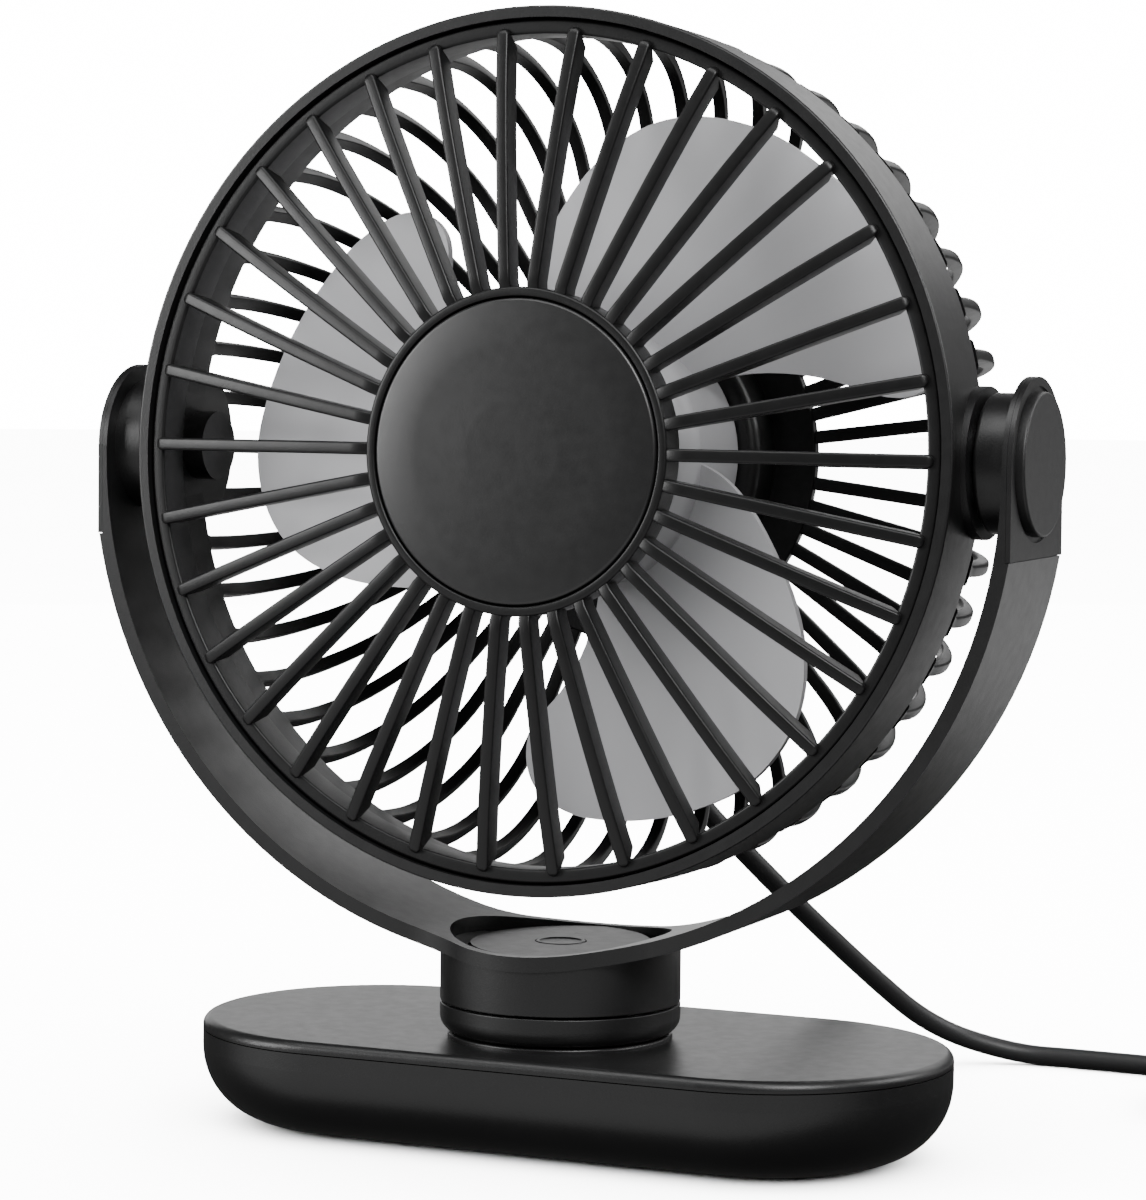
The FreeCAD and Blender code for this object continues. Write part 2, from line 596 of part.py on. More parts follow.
def drum_housing():
    shell = new_body("drum_shell")
    revolve(shell, [
        ("drum_mouth", "drum_front"), ("drum_radius", "drum_front", "0.5"),
        ("drum_radius", "drum_rear", "0.3"), ("spigot_radius + slip_gap", "drum_rear"),
        ("spigot_radius + slip_gap", "spigot_front - slip_gap"), ("drum_bore", "spigot_front - slip_gap"),
        ("drum_bore", "drum_ledge"), ("drum_mouth", "drum_ledge")], "Y")
    lobes = cylinder("lobe_radius", "2 * lobe_face_x", "-lobe_face_x", axis="X")
    inside = fuse(along("drum_mouth", "-30", "drum_ledge"), along("drum_bore", "-30", "30"))
    bosses = cylinder("lobe_boss_radius", "2 * lobe_face_x - 2", "-lobe_face_x + 1", axis="X")
    bore = block("2 * lobe_boss_inner_x", "40", "40", "-lobe_boss_inner_x", "-20", "-20")
    body = fuse(shell, cut(lobes, inside), cut(bosses, bore))
    holes = fuse(*[cylinder("bush_radius", "20", x, axis="X")
                   for x in ("bush_inner_x", "-bush_inner_x - 20")])
    keep("drum_housing", cut(body, holes), "head")


def ribbed_ring(label, rings, rib, rib_width, count):
    """A PartDesign body: turned rings, one rib across them, and a polar pattern of that rib."""
    body = new_body(label)
    for corners in rings:
        revolve(body, corners, "Y")
    sketch = new_sketch(body, "XY_Plane")
    rib(sketch)
    first = pad(body, sketch, rib_width, both=True)
    pattern = body.newObject("PartDesign::PolarPattern", "ribs")
    pattern.Originals = [first]
    pattern.Axis = (plane_of(body, "Y_Axis"), [""])
    pattern.Angle = 360
    bind(pattern, Occurrences=count)
    body.Tip = pattern
    return body


def front_grille():
    rings = [
        [("ring_inner", "ring_front", "0.4"), ("ring_outer", "ring_front", "0.4"),
         ("ring_outer", "ring_rear"), ("ring_inner", "ring_rear")],
        [("0", "hub_floor_front"), ("hub_ring_inner", "hub_floor_front"),
         ("hub_ring_inner", "hub_ring_front", "0.3"), ("hub_ring_outer", "hub_ring_front", "0.3"),
         ("hub_ring_outer", "ring_front", "0.5"), ("hub_ring_inner", "hub_floor_rear"),
         ("0", "hub_floor_rear")],
    ]
    body = ribbed_ring("front_grille", rings, lambda sketch: polygon(sketch, [
        ("hub_ring_outer - 1", "hub_ring_front + 0.9"), ("hub_ring_outer + 1.4", "hub_ring_front - 0.2", "1"),
        ("rib_mid_radius", "ring_front - rib_mid_rise", "rib_mid_round"),
        ("rib_outer_radius", "ring_front - rib_outer_rise", "rib_outer_round"),
        ("ring_outer - 1.2", "ring_front - 0.9", "0.7"), ("ring_outer - 1.2", "ring_front + 1"),
        ("ring_inner + 1", "ring_front + front_rib_depth"),
        ("rib_mid_radius", "ring_front - rib_mid_rise + front_rib_depth", "rib_mid_round"),
        ("hub_ring_outer - 1", "hub_ring_front + front_rib_depth + 0.9")]),
        "front_rib_width", "front_ribs")
    return keep("front_grille", body, "head")


def bowl_rib(sketch):
    """One rib of the rear bowl: two quarter ellipses joined by straight ends."""
    centre_radius = number("bowl_centre_radius")
    root = number("hub_plate_radius - 1")

    def quarter(front, rear, radius):
        middle = Vector(centre_radius, number(front), 0)
        major = Vector(centre_radius, number(rear), 0)
        minor = Vector(number(radius), number(front), 0)
        ellipse = Part.Ellipse(major, minor, middle)
        sides = sorted(ellipse.parameter(point) for point in (major, minor))
        if sides[1] - sides[0] > math.pi:
            sides = [sides[1], sides[0] + 2 * math.pi]
        return Part.ArcOfEllipse(ellipse, sides[0], sides[1]), major, minor

    outer, outer_end, outer_start = quarter("bowl_outer_front", "bowl_outer_rear", "bowl_outer_radius")
    inner, inner_end, inner_start = quarter("bowl_inner_front", "bowl_inner_rear", "bowl_inner_radius")
    front = number("drum_rear + 0.02")
    path = [outer_start, Vector(outer_start.x, front, 0), Vector(inner_start.x, front, 0), inner_start]
    back = [inner_end, Vector(root, inner_end.y, 0), Vector(root, outer_end.y, 0), outer_end]
    edges = [Part.LineSegment(a, b) for line in (path, back) for a, b in zip(line, line[1:])]
    sketch.addGeometry(edges + [outer, inner], False)
    sketch.addConstraint([Sketcher.Constraint("Block", i) for i in range(len(edges) + 2)])


MOTOR_SCREW_ANGLES = (90, 210, 330)


def along_at(radius, angle, front, rear):
    """A cylinder parallel to the spin axis, on the motor screws' circle."""
    return cylinder(radius, f"{rear} - ({front})", f"motor_screw_circle * cos({angle})", front,
                    f"motor_screw_circle * sin({angle})", "Y")


def rear_grille():
    rings = [
        [("drum_bore", "spigot_front"), ("spigot_radius", "spigot_front"),
         ("spigot_radius", "spigot_rear"), ("drum_bore", "spigot_rear")],
        [("hub_plate_bore", "hub_plate_front"), ("hub_plate_radius", "hub_plate_front", "0.4"),
         ("hub_plate_radius", "bowl_outer_rear", "0.4"), ("hub_step_radius", "bowl_outer_rear"),
         ("hub_step_radius", "hub_plate_rear"), ("hub_plate_bore", "hub_plate_rear")],
    ]
    body = ribbed_ring("bowl", rings, bowl_rib, "rear_rib_width", "rear_ribs")
    lobe_room = cut(cylinder("lobe_radius + 0.25", "200", "-100", axis="X"),
                    block("120", "80", "80", "-60", "-40", "-40"))
    screws = [along_at("motor_screw_radius + slip_gap", angle, "hub_plate_front - 1", "bowl_outer_rear")
              for angle in MOTOR_SCREW_ANGLES]
    keep("rear_grille", cut(body, fuse(lobe_room, *screws)), "head")


def motor_pieces():
    can = new_body("can")
    revolve(can, [
        ("bearing_radius", "motor_front"), ("motor_radius", "motor_front", "2"),
        ("motor_radius", "hub_plate_front"), ("motor_radius - motor_wall", "hub_plate_front"),
        ("motor_radius - motor_wall", "motor_front + motor_wall"),
        ("bearing_radius", "motor_front + motor_wall")], "Y")
    lugs = [along_at("motor_lug_radius", angle, "winding_rear + 0.4", "hub_plate_front")
            for angle in MOTOR_SCREW_ANGLES]
    holes = [along_at("motor_screw_radius", angle, "winding_rear", "hub_plate_front")
             for angle in MOTOR_SCREW_ANGLES]
    within = along("motor_radius - 0.5", "motor_front", "hub_plate_front")
    keep("motor_housing", cut(fuse(can, common(fuse(*lugs), within)), fuse(*holes)), "head")
    keep("motor_screws", fuse(*[
        along_at(radius, angle, front, rear) for angle in MOTOR_SCREW_ANGLES
        for radius, front, rear in (("motor_screw_radius", "winding_rear + 0.6", "hub_plate_rear + 0.2"),
                                    ("motor_screw_radius + 1", "hub_plate_rear", "hub_plate_rear + 1"))]),
        "head")
    turned("motor_stator", "Y", [
        ("stator_bore", "winding_front"), ("stator_radius", "winding_front", "0.8"),
        ("stator_radius", "winding_rear", "0.8"), ("stator_bore", "winding_rear")], "head")
    for label, front in (("front_bearing", "bearing_front"), ("rear_bearing", "rear_bearing_front")):
        turned(label, "Y", [
            ("shaft_radius + running_gap", front), ("bearing_radius", front),
            ("bearing_radius", f"{front} + bearing_length"),
            ("shaft_radius + running_gap", f"{front} + bearing_length")], "head")
    turned("bearing_holder", "Y", [
        ("bearing_radius", "rear_bearing_front"), ("bearing_radius + 1.6", "rear_bearing_front"),
        ("bearing_radius + 1.6", "hub_plate_front - 0.6"),
        ("hub_plate_bore + 1", "hub_plate_front - 0.6"), ("hub_plate_bore + 1", "hub_plate_front"),
        ("bearing_radius", "hub_plate_front")], "head")
    cover = new_body("cup")
    revolve(cover, [
        ("0", "cover_rear"), ("cover_radius", "cover_rear", "cover_round"),
        ("cover_radius", "cover_front"), ("cover_radius - cover_wall", "cover_front"),
        ("cover_radius - cover_wall", "cover_rear - cover_wall", "2"),
        ("0", "cover_rear - cover_wall")], "Y")
    gland_hole = cylinder("gland_radius", "10", "0", "gland_depth", "-cover_radius - 3")
    keep("motor_cover", cut(cover, gland_hole), "head")
    gland = turned("cord_gland", "Z", [
        ("0", "-gland_end"), ("gland_tip_radius", "-gland_end", "0.4"),
        ("gland_radius", "-cover_radius - 1"), ("gland_radius", "-gland_top + 1"),
        ("0", "-gland_top + 1")], "head")
    lean = "head_lean"
    move(gland, y=f"axis_y + gland_depth * cos({lean})", z=f"tilt_z - gland_depth * sin({lean})")


def impeller_hub():
    hub = new_body("hub")
    revolve(hub, [
        ("0", "impeller_front"), ("impeller_radius", "impeller_front", "5"),
        ("impeller_radius", "impeller_rear", "0.4"),
        ("impeller_radius - impeller_wall", "impeller_rear"),
        ("impeller_radius - impeller_wall", "impeller_front + impeller_wall", "3.4"),
        ("impeller_boss", "impeller_front + impeller_wall"),
        ("impeller_boss", "impeller_boss_rear"), ("0", "impeller_boss_rear")], "Y")
    return cut(hub, along("shaft_radius", "shaft_front + 4", "30"))


LEADING_EDGE = [(22, 118), (30, 112), (42, 98), (54, 86.5), (63, 76), (68, 63)]
TRAILING_EDGE = [(68.2, 21), (65, 14.5), (57, 12), (48, 17), (36, 26), (22, 33)]


def blade_outline(turn):
    """A face in the local XZ plane: two smooth edges, a round tip and a short root."""
    def place(radius, angle):
        angle = math.radians(angle + turn)
        return Vector(radius * math.cos(angle), 0, radius * math.sin(angle))

    tip = number("tip_radius")
    leading, trailing = Part.BSplineCurve(), Part.BSplineCurve()
    leading.interpolate([place(*point) for point in LEADING_EDGE] + [place(tip, 55)])
    trailing.interpolate([place(tip, 28)] + [place(*point) for point in TRAILING_EDGE])
    round_tip = Part.Arc(place(tip, 55), place(tip, 42), place(tip, 28))
    root = Part.LineSegment(place(*TRAILING_EDGE[-1]), place(*LEADING_EDGE[0]))
    return Part.Face(Part.Wire([c.toShape() for c in (leading, round_tip, trailing, root)]))


def blade(turn):
    """The outline, cut from a thin curved sheet that is pitched across the blade's middle line."""
    deep = number("impeller_rear")
    prism = blade_outline(turn)
    prism.translate(Vector(0, -10, 0))
    prism = prism.extrude(Vector(0, deep + 20, 0))
    curve = number("blade_curve")
    half_thick = number("blade_thickness") / 2
    tall = 3 * number("tip_radius")
    sheet = Part.makeCylinder(curve + half_thick, tall)
    sheet = sheet.cut(Part.makeCylinder(curve - half_thick, tall))
    pitch = math.degrees(math.atan(number("blade_slope")))
    sheet.translate(Vector(0, curve, 0))
    sheet.rotate(Vector(), Vector(0, 0, 1), pitch)
    sheet.rotate(Vector(), Vector(0, 1, 0), 90 - number("blade_mid_angle") - turn)
    sheet.translate(Vector(0, number("blade_mid_depth"), 0))
    piece = DOC.addObject("Part::Feature", "blade")
    piece.Shape = prism.common(sheet)
    return piece


def impeller():
    count = int(number("blades"))
    blades = [blade(360 / count * i) for i in range(count)]
    inside = along("impeller_radius - impeller_wall / 2", "-5", "30")
    keep("impeller", fuse(impeller_hub(), *[cut(piece, inside) for piece in blades]), "head")
    turned("rotor_shaft", "Y", [
        ("0", "shaft_front + 4"), ("shaft_radius", "shaft_front + 4", "0.3"),
        ("shaft_radius", "shaft_rear - slip_gap", "0.3"), ("0", "shaft_rear - slip_gap")], "head")
    turned("rotor_core", "Y", [
        ("shaft_radius", "winding_front"), ("rotor_radius", "winding_front", "0.5"),
        ("rotor_radius", "winding_rear", "0.5"), ("shaft_radius", "winding_rear")], "head")
    turned("shaft_lock_ring", "Y", [
        ("shaft_radius", "lock_ring_front"), ("lock_ring_radius", "lock_ring_front"),
        ("lock_ring_radius", "lock_ring_rear"), ("shaft_radius", "lock_ring_rear")], "head")


# ---- cord and plug ----------------------------------------------------------------------------

def tube(label, route):
    """A round tube along straight runs joined by tangent arcs; prints the arcs' radii."""
    points = [Vector(*point) for point in route]
    radius = number("cord_radius")
    runs = [(b - a).Length for a, b in zip(points, points[1:])]
    edges, radii, last = [], [], points[0]
    for i in range(1, len(points) - 1):
        back = (points[i - 1] - points[i]).normalize()
        on = (points[i + 1] - points[i]).normalize()
        half_turn = (math.pi - back.getAngle(on)) / 2
        reach = 0.45 * min(runs[i - 1], runs[i])
        radii.append(reach / math.tan(half_turn))
        start, end = points[i] + back * reach, points[i] + on * reach
        to_middle = (back + on).normalize()
        middle = points[i] + to_middle * (radii[-1] / math.cos(half_turn) - radii[-1])
        edges += [Part.LineSegment(last, start).toShape(), Part.Arc(start, middle, end).toShape()]
        last = end
    edges.append(Part.LineSegment(last, points[-1]).toShape())
    wire = Part.Wire(edges)
    circle = Part.Wire(Part.Circle(points[0], points[1] - points[0], radius).toShape())
    solid = wire.makePipeShell([circle], True, False)
    expected = math.pi * radius ** 2 * wire.Length
    print(f"{label}: length {wire.Length:.1f}, radii {[round(r, 1) for r in radii]}, "
          f"volume {solid.Volume:.1f} of {expected:.1f}")
    solid_feature(label, solid)
    return wire.Length


# From the gland down behind the fan, along the table and into the coil.
LEAD_ROUTE = [(0, 34.65, 84.4), (1, 34.6, 72), (7, 40, 60), (20.5, 56.5, 40), (30.2, 81, 20.8),
              (37.8, 99.6, 7.4), (53, 107.4, 2), (66, 107.9, 2), (84, 107.2, 2), (103, 107.6, 2),
              (112, 107.2, 2)]
# From the coil into the plug's collar.
TAIL_ROUTE = [(145.2, 88, 4), (146.8, 76.5, 4.2), (147, 64.55, 3.8)]


def cord_pieces():
    tube("cord_lead", LEAD_ROUTE)
    tube("cord_tail", TAIL_ROUTE)
    coil = turned("cord_coil", "Z", [
        ("coil_turn - coil_half_width", "0", "1.5"), ("coil_turn + coil_half_width", "0", "1.5"),
        ("coil_turn + coil_half_width", "coil_height", "1.5"),
        ("coil_turn - coil_half_width", "coil_height", "1.5")], "world")
    move(coil, "coil_x", "coil_y")


def centred_block(width, length, height, rear, low):
    """A box centred on the plug's line; rear is how far its back face lies behind the plug's back."""
    return block(width, length, height, f"plug_x - ({width}) / 2", f"plug_y + {rear} - ({length})", low)


def plug_pieces():
    body = new_body("usb_body")
    sketch = new_sketch(body, "XZ_Plane")
    side = "plug_width / 2"
    polygon(sketch, [(f"-{side}", "0", "plug_round"), (side, "0", "plug_round"),
                     (side, "plug_thickness", "plug_round"), (f"-{side}", "plug_thickness", "plug_round")])
    pad(body, sketch, "plug_length")
    keep("usb_body", body)
    move(body, "plug_x", "plug_y")
    collar = cylinder("plug_collar_radius", "plug_collar_length", "plug_x", "plug_y",
                      "plug_thickness / 2", "Y")
    keep("usb_collar", collar)
    front = "-plug_length"
    low = "(plug_thickness - usb_thickness) / 2"
    outer = centred_block("usb_width", "usb_length", "usb_thickness", front, low)
    inner = centred_block("usb_width - 2 * usb_wall", "usb_length + 2", "usb_thickness - 2 * usb_wall",
                          f"{front} + 1", f"{low} + usb_wall")
    windows = [block("usb_window", "usb_window", "usb_thickness + 2", f"plug_x {x} - usb_window / 2",
                     "plug_y - plug_length - usb_window_y - usb_window", f"{low} - 1")
               for x in ("- usb_window_x", "+ usb_window_x")]
    keep("usb_shell", cut(outer, fuse(inner, *windows)))
    keep("usb_insulator", centred_block("usb_width - 2 * usb_wall - slip_gap", "usb_length - 0.6",
                                        "tongue_thickness", front, f"{low} + usb_wall + 0.02"))
    keep("usb_contacts", fuse(*[
        block("contact_width", "contact_length", "contact_height",
              f"plug_x + ({i} - 1.5) * contact_pitch - contact_width / 2",
              "plug_y - plug_length - contact_length - 1.5",
              f"{low} + usb_wall + 0.02 + tongue_thickness") for i in range(4)]))


# ---- build, test and write --------------------------------------------------------------------

for build in (base_lower_shell, base_top_cover, ballast_plate, anti_slip_pad, base_screws,
              neck_base_pieces, neck_upper_collar, yoke_frame, panel_pieces, pivot_hardware,
              drum_housing, front_grille, rear_grille, motor_pieces, impeller, cord_pieces,
              plug_pieces):
    build()
for side_name, side_sign in SIDES.items():
    arm_pieces(side_name, side_sign)
turned("hub_disc", "Y", [
    ("0", "disc_front"), ("disc_radius", "disc_front", "1.2"), ("disc_radius", "disc_rear", "0.5"),
    ("disc_peg", "disc_rear"), ("disc_peg", "hub_floor_front"), ("0", "hub_floor_front")], "head")

DOC.recompute()
for item in DOC.Objects:
    if "Invalid" in item.State or "Error" in item.State:
        raise RuntimeError(f"{item.Label} ({item.Name}) failed: {item.State}")
os.makedirs("parts", exist_ok=True)
for label, piece in PARTS.items():
    shape = piece.Shape
    if shape.isNull() or not shape.isValid() or not shape.Solids:
        raise RuntimeError(f"{label}: its shape is empty or not valid")
    shape.exportStep(f"parts/{label}.step")
    print(f"{label}: {len(shape.Solids)} solid(s), {shape.Volume:.0f} mm3")
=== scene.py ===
"""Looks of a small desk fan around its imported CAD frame.

Metres, in the CAD's own frame: +Z up, and the air blows to -Y.
"""
import json
import math

import bmesh
import bpy
from mathutils import Matrix, Vector


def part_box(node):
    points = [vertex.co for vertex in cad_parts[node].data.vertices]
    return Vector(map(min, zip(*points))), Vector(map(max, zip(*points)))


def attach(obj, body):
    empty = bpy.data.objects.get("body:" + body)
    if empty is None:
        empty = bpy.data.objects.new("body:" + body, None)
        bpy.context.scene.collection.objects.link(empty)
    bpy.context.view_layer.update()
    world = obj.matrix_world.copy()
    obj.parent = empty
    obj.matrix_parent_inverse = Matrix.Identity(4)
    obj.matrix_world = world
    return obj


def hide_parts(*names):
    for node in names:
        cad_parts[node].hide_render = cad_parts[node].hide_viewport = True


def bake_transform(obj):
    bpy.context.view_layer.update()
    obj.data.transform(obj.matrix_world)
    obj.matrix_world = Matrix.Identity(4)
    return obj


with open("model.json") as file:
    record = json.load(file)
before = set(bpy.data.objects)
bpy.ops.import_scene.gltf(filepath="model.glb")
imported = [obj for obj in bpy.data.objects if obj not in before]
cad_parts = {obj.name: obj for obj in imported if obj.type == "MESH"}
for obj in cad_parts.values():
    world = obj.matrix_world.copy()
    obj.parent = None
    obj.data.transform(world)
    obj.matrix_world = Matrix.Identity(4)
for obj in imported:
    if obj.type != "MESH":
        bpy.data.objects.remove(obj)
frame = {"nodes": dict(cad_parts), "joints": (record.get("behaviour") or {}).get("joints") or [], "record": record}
NODES = frame["nodes"]
JOINTS = {joint["name"]: joint for joint in frame["joints"]}
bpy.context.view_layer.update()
MM = 0.001

# The head's own frame: spin axis along local Y, depth counted backwards from the tilt axis.
TILT_POINT = Vector(JOINTS["tilt"]["pos_m"])
SPIN_AXIS = Vector(JOINTS["spin"]["axis"]).normalized()
HEAD_LEAN = math.asin(SPIN_AXIS.z)
HEAD = Matrix.Translation(TILT_POINT) @ Matrix.Rotation(-HEAD_LEAN, 4, "X")
TURN = 2 * math.pi


# ---- materials --------------------------------------------------------------------------------

class Nodes:
    """A material's node tree, with short calls to add and join nodes."""

    def __init__(self, name):
        self.material = bpy.data.materials.new(name)
        self.material.use_nodes = True
        self.tree = self.material.node_tree
        self.shader = self.tree.nodes["Principled BSDF"]

    def add(self, kind, **values):
        node = self.tree.nodes.new(kind)
        for key, value in values.items():
            if key in node.inputs:
                node.inputs[key].default_value = value
            else:
                setattr(node, key, value)
        return node

    def join(self, source, output, target, socket):
        self.tree.links.new(source.outputs[output], target.inputs[socket])

    def set(self, **values):
        for key, value in values.items():
            self.shader.inputs[key.replace("_", " ")].default_value = value

    def noise(self, scale, detail=3.0, squeeze=(1, 1, 1)):
        """Noise in the piece's own metres; scale is features per metre."""
        place = self.add("ShaderNodeTexCoord")
        spread = self.add("ShaderNodeMapping", Scale=squeeze)
        self.join(place, "Object", spread, "Vector")
        noise = self.add("ShaderNodeTexNoise", Scale=scale, Detail=detail)
        self.join(spread, "Vector", noise, "Vector")
        return noise

    def vary(self, noise, socket, low, high):
        """Let a socket of the shader wander between two values with a noise."""
        spread = self.add("ShaderNodeMapRange")
        spread.inputs["From Min"].default_value = 0.3
        spread.inputs["From Max"].default_value = 0.7
        spread.inputs["To Min"].default_value = low
        spread.inputs["To Max"].default_value = high
        self.join(noise, "Fac", spread, "Value")
        self.join(spread, "Result", self.shader, socket)

    def tint(self, noise, dark, light):
        """Let the base colour wander between two greys or colours with a noise."""
        ramp = self.add("ShaderNodeValToRGB")
        ramp.color_ramp.elements[0].position = 0.3
        ramp.color_ramp.elements[1].position = 0.7
        ramp.color_ramp.elements[0].color = (*dark, 1)
        ramp.color_ramp.elements[1].color = (*light, 1)
        self.join(noise, "Fac", ramp, "Fac")
        self.join(ramp, "Color", self.shader, "Base Color")

    def bump(self, noises):
        """Bump from several (noise, height in metres) pairs, one over the other."""
        last = None
        for noise, height in noises:
            bump = self.add("ShaderNodeBump", Strength=1.0, Distance=height)
            self.join(noise, "Fac", bump, "Height")
            if last:
                self.join(last, "Normal", bump, "Normal")
            last = bump
        self.join(last, "Normal", self.shader, "Normal")


def grey(value):
    """A black or grey that is very slightly cool."""
    return (value, value, value * 1.03)


def moulded(name, tone, roughness, grain=3500.0, depth=0.00002, spread=0.12, gloss=0.5):
    """Moulded plastic: fine spark-eroded grain, faint flow marks, and sheen that varies a little."""
    nodes = Nodes(name)
    flow = nodes.noise(26.0, 2.0)
    fine = nodes.noise(grain, 2.0)
    wear = nodes.noise(420.0, 4.0)
    nodes.tint(flow, grey(tone * (1 - spread)), grey(tone * (1 + spread)))
    nodes.vary(wear, "Roughness", roughness - 0.02, roughness + 0.02)
    nodes.bump([(fine, depth), (wear, depth * 0.25)])
    nodes.set(Specular_IOR_Level=gloss)
    return nodes.material


def metal(name, colour, roughness, scale=900.0, squeeze=(1, 1, 1), depth=0.000006):
    """Bare or plated metal with brush or turning marks, which squeeze draws out along an axis."""
    nodes = Nodes(name)
    brush = nodes.noise(scale, 4.0, squeeze)
    nodes.tint(brush, [0.88 * c for c in colour], colour)
    nodes.vary(brush, "Roughness", roughness - 0.06, roughness + 0.06)
    nodes.bump([(brush, depth)])
    nodes.set(Metallic=1.0)
    return nodes.material


MATERIALS = {
    "shell": moulded("satin_black_plastic", 0.006, 0.38),
    "grille": moulded("grille_black_plastic", 0.005, 0.38, gloss=0.36),
    "cap": moulded("cap_black_plastic", 0.008, 0.46, grain=5200.0, depth=0.000035),
    "disc": moulded("disc_satin_black", 0.006, 0.37, grain=6000.0, depth=0.00001, gloss=0.65),
    "panel": moulded("panel_black_plastic", 0.010, 0.42),
    "lens": moulded("smoked_lens", 0.002, 0.30, depth=0.000002, gloss=0.05),
    "blade": moulded("grey_blade_plastic", 0.38, 0.42, grain=1500.0, depth=0.000004, spread=0.03),
    "rubber_pad": moulded("foot_rubber", 0.012, 0.75, grain=2500.0, depth=0.00006),
    "cord": moulded("cord_jacket", 0.022, 0.48, grain=2600.0, depth=0.00003),
    "gland": moulded("gland_rubber", 0.016, 0.55, grain=2600.0, depth=0.00003),
    "plug": moulded("plug_black_plastic", 0.014, 0.46, grain=4200.0, depth=0.00003),
    "usb_metal": metal("plated_sheet", (0.80, 0.80, 0.79), 0.20, 500.0, (1, 8, 1)),
    "usb_white": moulded("white_insulator", 0.62, 0.40, spread=0.02),
    "gold": metal("gold_contacts", (0.90, 0.66, 0.30), 0.22),
    "steel": metal("zinc_plated_steel", (0.56, 0.56, 0.57), 0.32, 700.0),
    "cast_iron": metal("ballast_iron", (0.16, 0.16, 0.16), 0.62, 300.0, (1, 1, 1), 0.00006),
    "brass": metal("turned_brass", (0.78, 0.58, 0.28), 0.28, 600.0, (6, 1, 1)),
    "copper": metal("wound_copper", (0.72, 0.36, 0.20), 0.34, 900.0, (1, 5, 5)),
    "board": moulded("circuit_board", 0.04, 0.35),
}
SLOT_OF = {part["node"]: part["material_slot"] for part in frame["record"]["subparts"]}


def finish_piece(piece, slot_name):
    piece.data.materials.clear()
    piece.data.materials.append(MATERIALS[slot_name])


for node_name, node_object in NODES.items():
    finish_piece(node_object, SLOT_OF[node_name])


# ---- camera, light and floor ------------------------------------------------------------------
WHITE = 16.0               # radiance of the floor and the backdrop
FLOOR_TONE = 0.91
FLOOR_GAIN = 1.6           # the floor light is wide, so little of it falls square on the floor
FLOOR_LIGHT_WIDTH = 150    # degrees
SURROUNDINGS = 0.07        # strength of the even light from all sides


def aim(thing, place, target):
    """Put a light at a place and turn its face to a target."""
    thing.location = place
    thing.rotation_euler = (Vector(target) - Vector(place)).to_track_quat("-Z", "Y").to_euler()


VIEW_ANGLES = (23.744, 3.311, 0.58)    # azimuth, elevation and roll, in degrees
VIEW_PLACE = (0.286145, -0.656975, 0.148140)
VIEW_LENS = 116.45
VIEW_SHIFT = (0.00965, -0.0302)


def camera():
    """The photograph's view: 24 degrees to the right of the fan's axis and just above its middle."""
    data = bpy.data.cameras.new("camera")
    view = bpy.data.objects.new("camera", data)
    bpy.context.scene.collection.objects.link(view)
    azimuth, elevation, roll = (math.radians(angle) for angle in VIEW_ANGLES)
    back = Vector((math.sin(azimuth) * math.cos(elevation),
                   -math.cos(azimuth) * math.cos(elevation), math.sin(elevation)))
    right = Vector((math.cos(azimuth), math.sin(azimuth), 0))
    up = back.cross(right)
    turned_right = right * math.cos(roll) + up * math.sin(roll)
    turned_up = back.cross(turned_right)
    view.matrix_world = Matrix((
        (turned_right.x, turned_up.x, back.x, VIEW_PLACE[0]),
        (turned_right.y, turned_up.y, back.y, VIEW_PLACE[1]),
        (turned_right.z, turned_up.z, back.z, VIEW_PLACE[2]),
        (0, 0, 0, 1)))
    data.sensor_width = 36
    data.lens = VIEW_LENS
    data.shift_x, data.shift_y = VIEW_SHIFT
    data.clip_start = 0.01
    data.clip_end = 50
    bpy.context.scene.camera = view


def softbox(name, place, target, width, height, power):
    """A white area light that faces a target."""
    data = bpy.data.lights.new(name, "AREA")
    data.shape = "RECTANGLE"
    data.size = width
    data.size_y = height
    data.energy = power
    light = bpy.data.objects.new(name, data)
    bpy.context.scene.collection.objects.link(light)
    aim(light, place, target)
    return light


def light_only(light, *receivers):
    """Keep a light to a few pieces."""
    lit = bpy.data.collections.new(f"lit_by_{light.name}")
    for receiver in receivers:
        lit.objects.link(receiver)
    light.light_linking.receiver_collection = lit


def studio():
    """Large softboxes for broad, soft sheens on black plastic, in dim surroundings.

    Two of them lie on the floor and face up, in place of the light that the floor would throw back.
    The grey blades have their own, so that they stay light between the black ribs."""
    centre = (0, 0, 0.11)
    softbox("key_left", (-0.62, -0.50, 0.30), centre, 0.3, 0.4, 5.0)
    softbox("fill_front", (0.60, -0.62, 0.80), centre, 0.5, 0.5, 12)
    softbox("top_front", (-0.15, -0.45, 1.15), centre, 1.0, 0.6, 8)
    softbox("right_high", (0.80, 0.35, 0.60), centre, 0.5, 0.5, 5)
    softbox("rear_left", (-0.75, 1.2, 0.26), centre, 1.1, 0.5, 3.2)
    softbox("rear_top", (0.15, 1.1, 0.75), centre, 0.8, 0.6, 3)
    softbox("rear_right", (0.75, 0.8, 0.3), centre, 0.6, 0.6, 0.8)
    softbox("front_bounce", (0.0, -0.24, 0.001), (0.0, -0.24, 1), 0.6, 0.4, 0.55)
    softbox("floor_bounce", (0.05, 0.60, 0.01), (0.05, 0.60, 1), 1.2, 0.8, 3)
    blade_light = softbox("blade_light", (-0.20, -0.95, 0.25), centre, 0.8, 0.6, 14)
    light_only(blade_light, NODES["impeller"])
    world = bpy.data.worlds.new("studio")
    world.use_nodes = True
    surroundings = world.node_tree.nodes["Background"]
    surroundings.inputs["Color"].default_value = (1, 1, 1, 1)
    surroundings.inputs["Strength"].default_value = SURROUNDINGS
    bpy.context.scene.world = world


